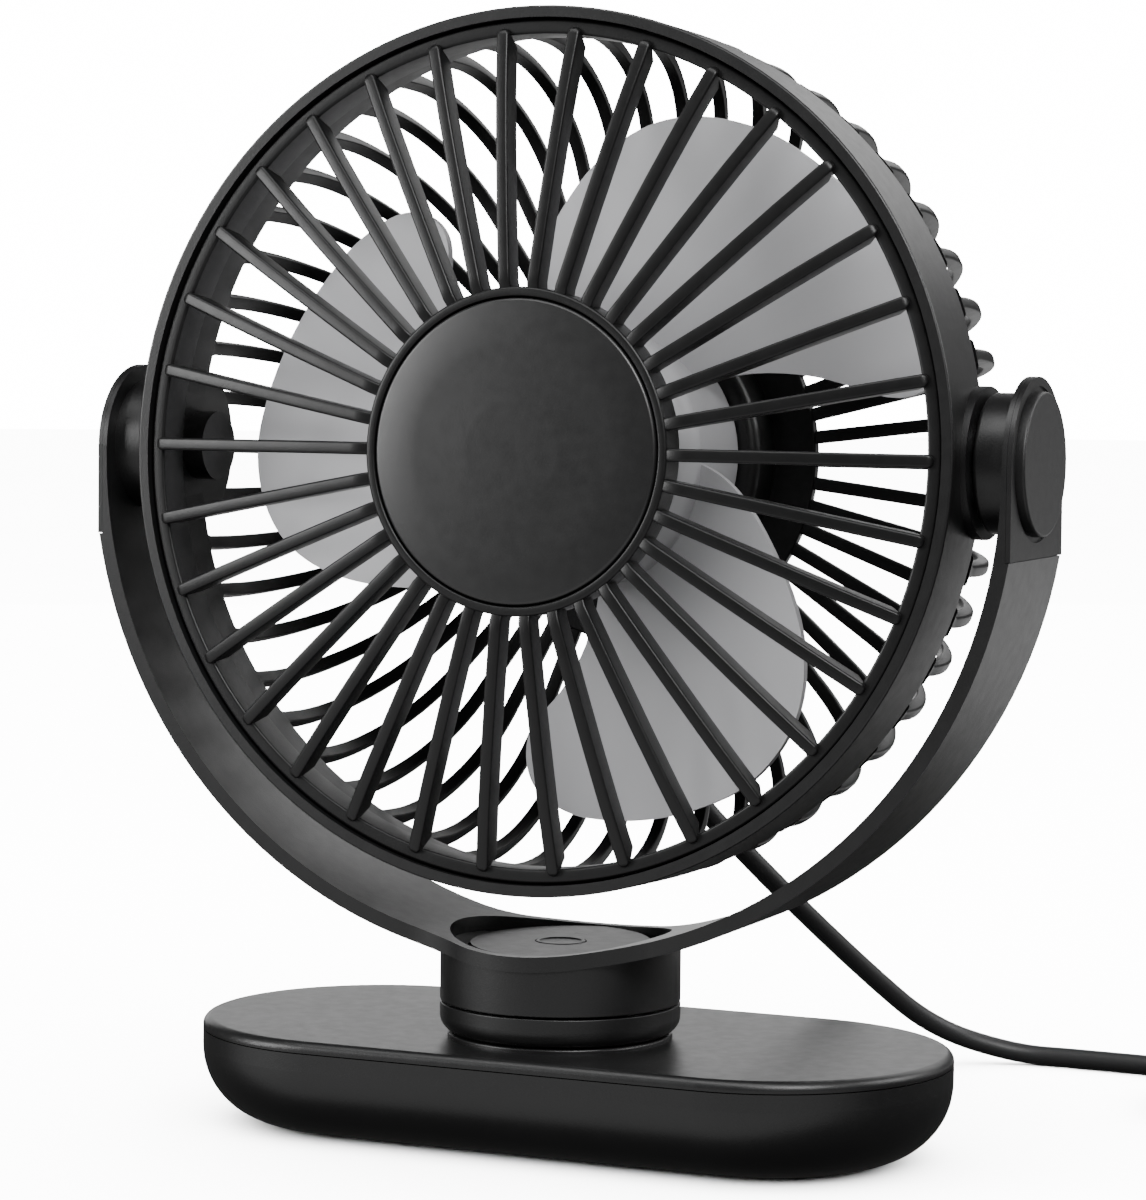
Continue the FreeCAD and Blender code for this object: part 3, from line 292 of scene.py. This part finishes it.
def stage_piece(name, profile, material, segments=64):
    """A turned floor or backdrop that only the camera sees, so that it casts no light on the fan."""
    work = bmesh.new()
    angles = [TURN * step / segments for step in range(segments)]
    rows = [[work.verts.new((radius * math.cos(angle), radius * math.sin(angle), height))
             for radius, height in profile] for angle in angles]
    for low, high in zip(rows, rows[1:] + rows[:1]):
        for i in range(len(profile) - 1):
            work.faces.new((low[i], high[i], high[i + 1], low[i + 1]))
    bmesh.ops.remove_doubles(work, verts=work.verts, dist=0.0001)
    mesh = bpy.data.meshes.new(name)
    work.to_mesh(mesh)
    work.free()
    mesh.materials.append(material)
    piece = bpy.data.objects.new(name, mesh)
    bpy.context.scene.collection.objects.link(piece)
    piece.visible_diffuse = piece.visible_glossy = False
    return piece


def floor():
    """A pale floor with its own soft light from above, inside a white backdrop."""
    nodes = Nodes("pale_floor")
    nodes.tint(nodes.noise(3.0), (0.90, 0.90, 0.90), (0.92, 0.92, 0.92))
    nodes.set(Roughness=0.8, Specular_IOR_Level=0.2)
    ground = stage_piece("floor", [(0, 0), (0.5, 0), (5.5, 0)], nodes.material)
    white = Nodes("white_backdrop")
    white.set(Base_Color=(0, 0, 0, 1), Emission_Color=(1, 1, 1, 1), Emission_Strength=WHITE)
    white.material.cycles.emission_sampling = "NONE"
    stage_piece("backdrop", [(5.4, -0.1), (5.4, 3), (4.5, 5), (2.5, 6), (0, 6.5)], white.material)
    data = bpy.data.lights.new("floor_light", "SUN")
    data.energy = WHITE * FLOOR_GAIN * math.pi / FLOOR_TONE
    data.angle = math.radians(FLOOR_LIGHT_WIDTH)
    light = bpy.data.objects.new("floor_light", data)
    bpy.context.scene.collection.objects.link(light)
    light_only(light, ground)


# ---- mesh tools, in millimetres ---------------------------------------------------------------

def rounded(corners, steps=5):
    """A closed outline; a corner (x, y, radius) becomes a short arc and (x, y) stays sharp."""
    outline = []
    for i, corner in enumerate(corners):
        here = Vector(corner[:2])
        if len(corner) == 2:
            outline.append(here)
            continue
        to_last = (Vector(corners[i - 1][:2]) - here).normalized()
        to_next = (Vector(corners[(i + 1) % len(corners)][:2]) - here).normalized()
        half = to_last.angle(to_next) / 2
        centre = here + (to_last + to_next).normalized() * (corner[2] / math.sin(half))
        first = here + to_last * (corner[2] / math.tan(half)) - centre
        side = 1 if to_last.y * to_next.x - to_last.x * to_next.y > 0 else -1
        for step in range(steps + 1):
            turn = Matrix.Rotation(side * (math.pi - 2 * half) * step / steps, 2)
            outline.append(centre + turn @ first)
    return outline


def skin(work, sections, closed=False):
    """Faces between sections of equal length, with flat ends unless the row closes on itself."""
    rows = [[work.verts.new(point) for point in section] for section in sections]
    pairs = list(zip(rows, rows[1:] + rows[:1])) if closed else list(zip(rows, rows[1:]))
    for low, high in pairs:
        for i in range(len(low)):
            j = (i + 1) % len(low)
            work.faces.new((low[i], low[j], high[j], high[i]))
    if not closed:
        work.faces.new(list(reversed(rows[0])))
        work.faces.new(rows[-1])


def lathe(work, corners, segments=192, steps=5):
    """Turn an outline of (radius, depth) corners about the local Y axis."""
    outline = rounded(corners, steps)
    skin(work, [[(point.x * math.cos(angle), point.y, point.x * math.sin(angle)) for point in outline]
                for angle in (TURN * step / segments for step in range(segments))], closed=True)


def lathe_upright(work, corners, segments=96, steps=5):
    """Turn an outline of (radius, height) corners about Z."""
    outline = rounded(corners, steps)
    skin(work, [[(point.x * math.cos(angle), point.x * math.sin(angle), point.y) for point in outline]
                for angle in (TURN * step / segments for step in range(segments))], closed=True)


def new_piece(name, work, body, slot_name, *nodes, place=Matrix(), crease=38):
    """Turn a bmesh in millimetres into a piece that stands for CAD nodes and rides on their body.

    Edges sharper than the crease, in degrees, stay sharp in the shading."""
    bmesh.ops.remove_doubles(work, verts=work.verts, dist=0.0005)
    bmesh.ops.dissolve_degenerate(work, dist=0.0005, edges=work.edges)
    bmesh.ops.recalc_face_normals(work, faces=work.faces)
    for edge in work.edges:
        edge.smooth = edge.calc_face_angle(0) < math.radians(crease)
    mesh = bpy.data.meshes.new(name)
    work.to_mesh(mesh)
    work.free()
    mesh.transform(place @ Matrix.Scale(MM, 4))
    for face in mesh.polygons:
        face.use_smooth = True
    mesh.materials.append(MATERIALS[slot_name])
    piece = bpy.data.objects.new(name, mesh)
    bpy.context.scene.collection.objects.link(piece)
    if body:
        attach(piece, body)
    if nodes:
        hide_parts(*nodes)
    return piece


def around(count):
    """Evenly spaced angles of one full turn."""
    return [TURN * i / count for i in range(count)]


def polar(angle, radius, across, depth):
    """A point of the head at a radius, some way across that radius, at a depth."""
    return (radius * math.cos(angle) - across * math.sin(angle), depth,
            radius * math.sin(angle) + across * math.cos(angle))


# ---- front grille -----------------------------------------------------------------------------
RING_FRONT = -16.5
FRONT_RIBS = 34
RIB_HALF_WIDTH = 1.15
RIB_THICKNESS = 4.4
RIB_ROOT = 28.4
RIB_TIP = 76.3
RIB_SEAT = 75.0         # from this radius outwards a rib lies on the ring
HUB_RING = (27.7, 29.4)
RIB_LINE = [(28.2, -22.6), (30.4, -23.4), (42, -22.35), (55, -20.85), (64, -19.6), (70, -18.55),
            (74, -17.75), (76.3, -17.35)]


def along_line(line, radius):
    """The depth of a line at a radius, straight between its points."""
    for (r0, d0), (r1, d1) in zip(line, line[1:]):
        if radius <= r1:
            return d0 + (d1 - d0) * (radius - r0) / (r1 - r0)
    return line[-1][1]


def front_rib(work, angle):
    """One rib: a soft-edged bar with a round nose where it lies on the ring."""
    straight = [RIB_ROOT + (RIB_TIP - RIB_HALF_WIDTH - RIB_ROOT) * i / 22 for i in range(23)]
    nose = [RIB_TIP - RIB_HALF_WIDTH * (1 - math.sin(step * math.pi / 12)) for step in range(1, 6)]
    sections = []
    for radius in straight + nose:
        past = max(0.0, (radius - RIB_TIP + RIB_HALF_WIDTH) / RIB_HALF_WIDTH)
        shrink = math.sqrt(1 - past * past)
        half = RIB_HALF_WIDTH * max(shrink, 0.2)
        front = along_line(RIB_LINE, radius) + 0.9 * (1 - shrink)
        seat = RING_FRONT + 0.6 if radius > RIB_SEAT else front + RIB_THICKNESS
        edge = 0.42 * half
        bar = rounded([(-half, seat, 0.12), (-half, front, edge), (half, front, edge),
                       (half, seat, 0.12)], 4)
        sections.append([polar(angle, radius, point.x, point.y) for point in bar])
    skin(work, sections)


def front_grille():
    """The ring, the hub collar and the ribs between them, with the crowned disc in the collar."""
    work = bmesh.new()
    lathe(work, [(RIB_SEAT, RING_FRONT, 0.5), (77.5, RING_FRONT, 0.5), (77.5, -9.0),
                 (RIB_SEAT, -9.0, 0.3)])
    lathe(work, [(0, -18.9), (HUB_RING[0], -18.9, 0.2), (HUB_RING[0], -23.3, 0.4),
                 (HUB_RING[1], -23.3, 0.6), (HUB_RING[1], RING_FRONT, 0.5), (HUB_RING[0], -17.3),
                 (0, -17.3)])
    for angle in around(FRONT_RIBS):
        front_rib(work, angle)
    new_piece("front_grille_moulding", work, "head", "grille", "front_grille", place=HEAD)
    work = bmesh.new()
    lathe(work, [(0, -24.25), (9, -24.16, 60), (20, -23.87, 60), (27.4, -23.4, 0.7), (27.4, -19.4, 0.3),
                 (0, -19.4)], steps=6)
    new_piece("hub_disc_face", work, "head", "disc", "hub_disc", place=HEAD)


# ---- rear grille ------------------------------------------------------------------------------
REAR_RIBS = 52
BOWL_TURN = 56.9                # radius where the bowl's wall has turned into its back
BOWL_OUTER = (79.9, 5.2, 37.2)  # radius of the wall, depth where it starts to turn, depth of the back
BOWL_INNER = (77.1, 7.5, 35.2)
REAR_RIB_HALF = 1.225
DRUM_REAR = 1.4
CORNER = 1.6                    # radius of the windows' corners at the drum


def rear_rib(work, angle):
    """One rib of the bowl, from the drum's rear edge round to the hub plate."""
    def on_bowl(side, part):
        radius, front, rear = side
        return (BOWL_TURN + (radius - BOWL_TURN) * math.cos(part),
                front + (rear - front) * math.sin(part))

    root = [CORNER * (1 - math.cos(math.pi / 2 * step / 6)) for step in range(7)]
    stations = [((BOWL_OUTER[0], DRUM_REAR + past), (BOWL_INNER[0], DRUM_REAR + past))
                for past in root]
    widths = [REAR_RIB_HALF + CORNER - math.sqrt(CORNER ** 2 - (CORNER - past) ** 2)
              for past in root]
    stations.append(((BOWL_OUTER[0], 3.6), (BOWL_INNER[0], 4.4)))
    stations += [(on_bowl(BOWL_OUTER, part), on_bowl(BOWL_INNER, part))
                 for part in (math.pi / 2 * step / 16 for step in range(17))]
    stations += [((radius, BOWL_OUTER[2]), (radius, BOWL_INNER[2])) for radius in (48, 42, 35)]
    widths += [REAR_RIB_HALF] * (len(stations) - len(widths))
    sections = []
    for (outer, inner), half in zip(stations, widths):
        out = Vector(outer) - Vector(inner)
        thick = out.length
        bar = rounded([(-half, 0, 0.3), (-half, thick, 0.75), (half, thick, 0.75), (half, 0, 0.3)], 4)
        out.normalize()
        sections.append([polar(angle, inner[0] + out.x * point.y, point.x, inner[1] + out.y * point.y)
                         for point in bar])
    skin(work, sections)


def rear_grille():
    """The ring inside the drum, the hub plate and the bowl's ribs between them."""
    work = bmesh.new()
    lathe(work, [(76.8, -6.0), (78.3, -6.0, 0.3), (78.3, 1.5, 0.3), (76.8, 1.5, 0.3)])
    lathe(work, [(8, 34.7), (36, 34.7, 0.5), (36, 37.2, 0.6), (32.5, 37.2, 0.3), (32.5, 36.2),
                 (8, 36.2)])
    for angle in around(REAR_RIBS):
        rear_rib(work, angle)
    new_piece("rear_grille_moulding", work, "head", "grille", "rear_grille", place=HEAD)


# ---- power button -----------------------------------------------------------------------------
KEY_SKIRT = 0.8     # the key's hidden flange, wider than its face
KEY_RIM = 0.6
KEY_DIP = 0.22      # the face inside the rim lies this much lower


def power_button():
    """A round key with a slightly raised rim, in the panel's hole."""
    low, high = (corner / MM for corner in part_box("power_button"))
    radius = (high.x - low.x) / 2 - KEY_SKIRT
    top = high.z
    work = bmesh.new()
    lathe_upright(work, [(0, low.z), (radius, low.z), (radius, top, 0.2), (radius - KEY_RIM, top, 0.15),
                         (radius - KEY_RIM - 0.2, top - KEY_DIP, 0.15), (0, top - KEY_DIP)])
    centre = (low + high) / 2 * MM
    place = Matrix.Translation((centre.x, centre.y, 0))
    new_piece("power_button_key", work, "button", "panel", "power_button", place=place)


# ---- cord -------------------------------------------------------------------------------------
# The lead's route in metres: down from the gland, along the table and into the coil.
LEAD_ROUTE = [(0, 0.03465, 0.0844), (0.001, 0.0346, 0.072), (0.007, 0.040, 0.060),
              (0.0205, 0.0565, 0.040), (0.0302, 0.081, 0.0208), (0.0378, 0.0996, 0.0074),
              (0.053, 0.1074, 0.002), (0.066, 0.1079, 0.002), (0.084, 0.1072, 0.002),
              (0.103, 0.1076, 0.002), (0.112, 0.1072, 0.002)]
TAIL_ROUTE = [(0.1452, 0.078, 0.0058), (0.1468, 0.0715, 0.0044), (0.147, 0.06455, 0.0038)]
CORD = 0.004
LEAD_SPLIT = 0.108       # the same, where the hanging piece meets the lying one
BEND_SOFTENING = 300     # passes of the blur that rounds the hanging piece's bends
HELD_POINTS = 20         # at the head, where the lead leaves the gland straight
CORD_SIDES = 20
LYING_STEP = 4           # every fourth point is enough for the wide bends of the lying piece
COIL_CENTRE = Vector((0.119, 0.0814, 0))
COIL_RADII = [0.026, 0.022, 0.018, 0.018, 0.022, 0.026, 0.026]
COIL_LAYERS = [0.002, 0.002, 0.002, 0.006, 0.006, 0.006, 0.006]
COIL_TURNS = 6.25
TURN_POINTS = 16


def eased(values, progress, spread):
    """A list's value at a turn count: steady through each turn, moving on in its last part."""
    index = min(int(progress), len(values) - 1)
    following = values[min(index + 1, len(values) - 1)]
    share = max(0.0, (progress - index - 1 + spread) / spread)
    share = share * share * (3 - 2 * share)
    return values[index] + (following - values[index]) * share


def coil_points():
    """Six clockwise turns from the coil's rear side, three on the table and three on top."""
    points = []
    for step in range(1, int(COIL_TURNS * TURN_POINTS)):
        progress = step / TURN_POINTS
        radius = eased(COIL_RADII, progress, 0.4)
        angle = math.pi / 2 - TURN * progress
        points.append(COIL_CENTRE + Vector((radius * math.cos(angle), radius * math.sin(angle),
                                            eased(COIL_LAYERS, progress, 0.3))))
    return points


def cord_line():
    """Points along the whole cord, read from one smooth NURBS spline."""
    lead = [Vector(point) for point in LEAD_ROUTE]
    tail = [Vector(point) for point in TAIL_ROUTE]
    route = lead + coil_points() + tail
    curve = bpy.data.curves.new("route", "CURVE")
    curve.dimensions = "3D"
    curve.resolution_u = 40
    spline = curve.splines.new("NURBS")
    spline.points.add(len(route) - 1)
    for point, place in zip(spline.points, route):
        point.co = (*place, 1)
    spline.order_u = 3
    spline.use_endpoint_u = True
    holder = bpy.data.objects.new("route", curve)
    mesh = bpy.data.meshes.new_from_object(holder)
    line = [vertex.co.copy() for vertex in mesh.vertices]
    bpy.data.meshes.remove(mesh)
    bpy.data.objects.remove(holder)
    bpy.data.curves.remove(curve)
    return line


def first_in_use(sockets, kind):
    """A node has a socket of the same name for each data type, and only one of them is in use."""
    return next(socket for socket in sockets if socket.enabled and socket.type == kind)


def round_cord(radius, softening):
    """Geometry nodes that grow a bare line into a round tube, which stays round when the line bends.

    Softening rounds the line's bends, away from its held ends."""
    group = bpy.data.node_groups.new("round_cord", "GeometryNodeTree")
    group.interface.new_socket("Geometry", in_out="INPUT", socket_type="NodeSocketGeometry")
    group.interface.new_socket("Geometry", in_out="OUTPUT", socket_type="NodeSocketGeometry")
    kinds = ("NodeGroupInput", "GeometryNodeMeshToCurve", "GeometryNodeSetPosition",
             "GeometryNodeCurveToMesh", "GeometryNodeSetShadeSmooth", "GeometryNodeSetMaterial",
             "NodeGroupOutput")
    row = [group.nodes.new(kind) for kind in kinds]
    for node, following in zip(row, row[1:]):
        group.links.new(node.outputs[0], following.inputs[0])
    soften, sweep, colour = row[2], row[3], row[5]
    ends = group.nodes.new("GeometryNodeCurveEndpointSelection")
    ends.inputs["Start Size"].default_value = HELD_POINTS
    ends.inputs["End Size"].default_value = 1
    free = group.nodes.new("FunctionNodeBooleanMath")
    free.operation = "NOT"
    blur = group.nodes.new("GeometryNodeBlurAttribute")
    blur.data_type = "FLOAT_VECTOR"
    blur.inputs["Iterations"].default_value = softening
    place = group.nodes.new("GeometryNodeInputPosition")
    group.links.new(ends.outputs[0], free.inputs[0])
    group.links.new(free.outputs[0], blur.inputs["Weight"])
    group.links.new(place.outputs[0], first_in_use(blur.inputs, "VECTOR"))
    group.links.new(first_in_use(blur.outputs, "VECTOR"), soften.inputs["Position"])
    ring = group.nodes.new("GeometryNodeCurvePrimitiveCircle")
    ring.inputs["Resolution"].default_value = CORD_SIDES
    ring.inputs["Radius"].default_value = radius
    group.links.new(ring.outputs[0], sweep.inputs["Profile Curve"])
    sweep.inputs["Fill Caps"].default_value = True
    colour.inputs["Material"].default_value = MATERIALS["cord"]
    return group


def cord_piece(name, line, softening=0):
    """A line of points that is shown as a round cord."""
    work = bmesh.new()
    points = [work.verts.new(point / MM) for point in line]
    for here, there in zip(points, points[1:]):
        work.edges.new((here, there))
    piece = new_piece(name, work, None, "cord")
    piece.modifiers.new("round", "NODES").node_group = round_cord(CORD / 2, softening)
    return piece


def from_tilt_axis(point):
    """A point's distance from the axis that the head tilts about."""
    return math.hypot(point.y - TILT_POINT.y, point.z - TILT_POINT.z)


def cords():
    """The cord in two pieces: the lead that hangs from the gland, and the coil that lies on the table with the
    plug.

    The first bends between the head's cage and the yoke's strip, and so stays clear of both."""
    line = cord_line()
    split = next(i for i, point in enumerate(line) if from_tilt_axis(point) > LEAD_SPLIT)
    upper = line[:split + 1]
    lower = line[split:-1:LYING_STEP] + line[-1:]
    hanging = cord_piece("lead_hanging", upper, BEND_SOFTENING)
    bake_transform(hanging)
    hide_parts("cord_lead")
    lying = cord_piece("lead_lying", lower)
    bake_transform(lying)
    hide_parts("cord_coil", "cord_tail")
    plug_pieces()


GLAND_DEPTH = 0.0412     # behind the tilt axis, in the head's frame
GLAND_RINGS = 4


def cord_gland():
    """A short tapered strain relief with cut rings, below the motor cover."""
    work = bmesh.new()
    rings = [(0, -41.0), (2.9, -41.0, 0.4)]
    for step in range(GLAND_RINGS):
        top = -39.9 + 1.7 * step
        radius = 3.0 + 0.2 * step
        rings += [(radius, top - 0.2, 0.15), (radius - 0.5, top, 0.15),
                  (radius - 0.5, top + 0.5, 0.15), (radius + 0.1, top + 0.7, 0.15)]
    rings += [(4.0, -33.0, 0.3), (4.0, -31.0), (0, -31.0)]
    lathe_upright(work, rings, 64, 3)
    place = HEAD @ Matrix.Translation((0, GLAND_DEPTH, 0))
    new_piece("cord_gland_sleeve", work, "head", "gland", "cord_gland", place=place)


# ---- plug -------------------------------------------------------------------------------------
PLUG_CORNER = 2.4


def plug_pieces():
    """The moulded plug body; the collar, the plated shell and the inner pieces stay as they are."""
    low, high = (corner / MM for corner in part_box("usb_body"))
    middle_x, middle_z = (low.x + high.x) / 2, (low.z + high.z) / 2
    half_x, half_z = (high.x - low.x) / 2, (high.z - low.z) / 2
    work = bmesh.new()
    sections = []
    for y, shrink in ((high.y, 0.5), (high.y - 0.15, 0.2), (high.y - 0.5, 0.0), (low.y + 0.5, 0.0),
                      (low.y + 0.15, 0.2), (low.y, 0.5)):
        across = half_x - shrink
        up = half_z - shrink
        outline = rounded([(-across, -up, PLUG_CORNER), (across, -up, PLUG_CORNER),
                           (across, up, PLUG_CORNER), (-across, up, PLUG_CORNER)], 8)
        sections.append([(middle_x + point.x, y, middle_z + point.y) for point in outline])
    skin(work, sections)
    body = new_piece("plug_body", work, "base", "plug", "usb_body")
    kept = [NODES[name] for name in ("usb_collar", "usb_shell", "usb_insulator", "usb_contacts")]
    return [body, *kept]


# ---- the scene --------------------------------------------------------------------------------
front_grille()
rear_grille()
power_button()
cord_gland()
cords()
camera()
studio()
floor()
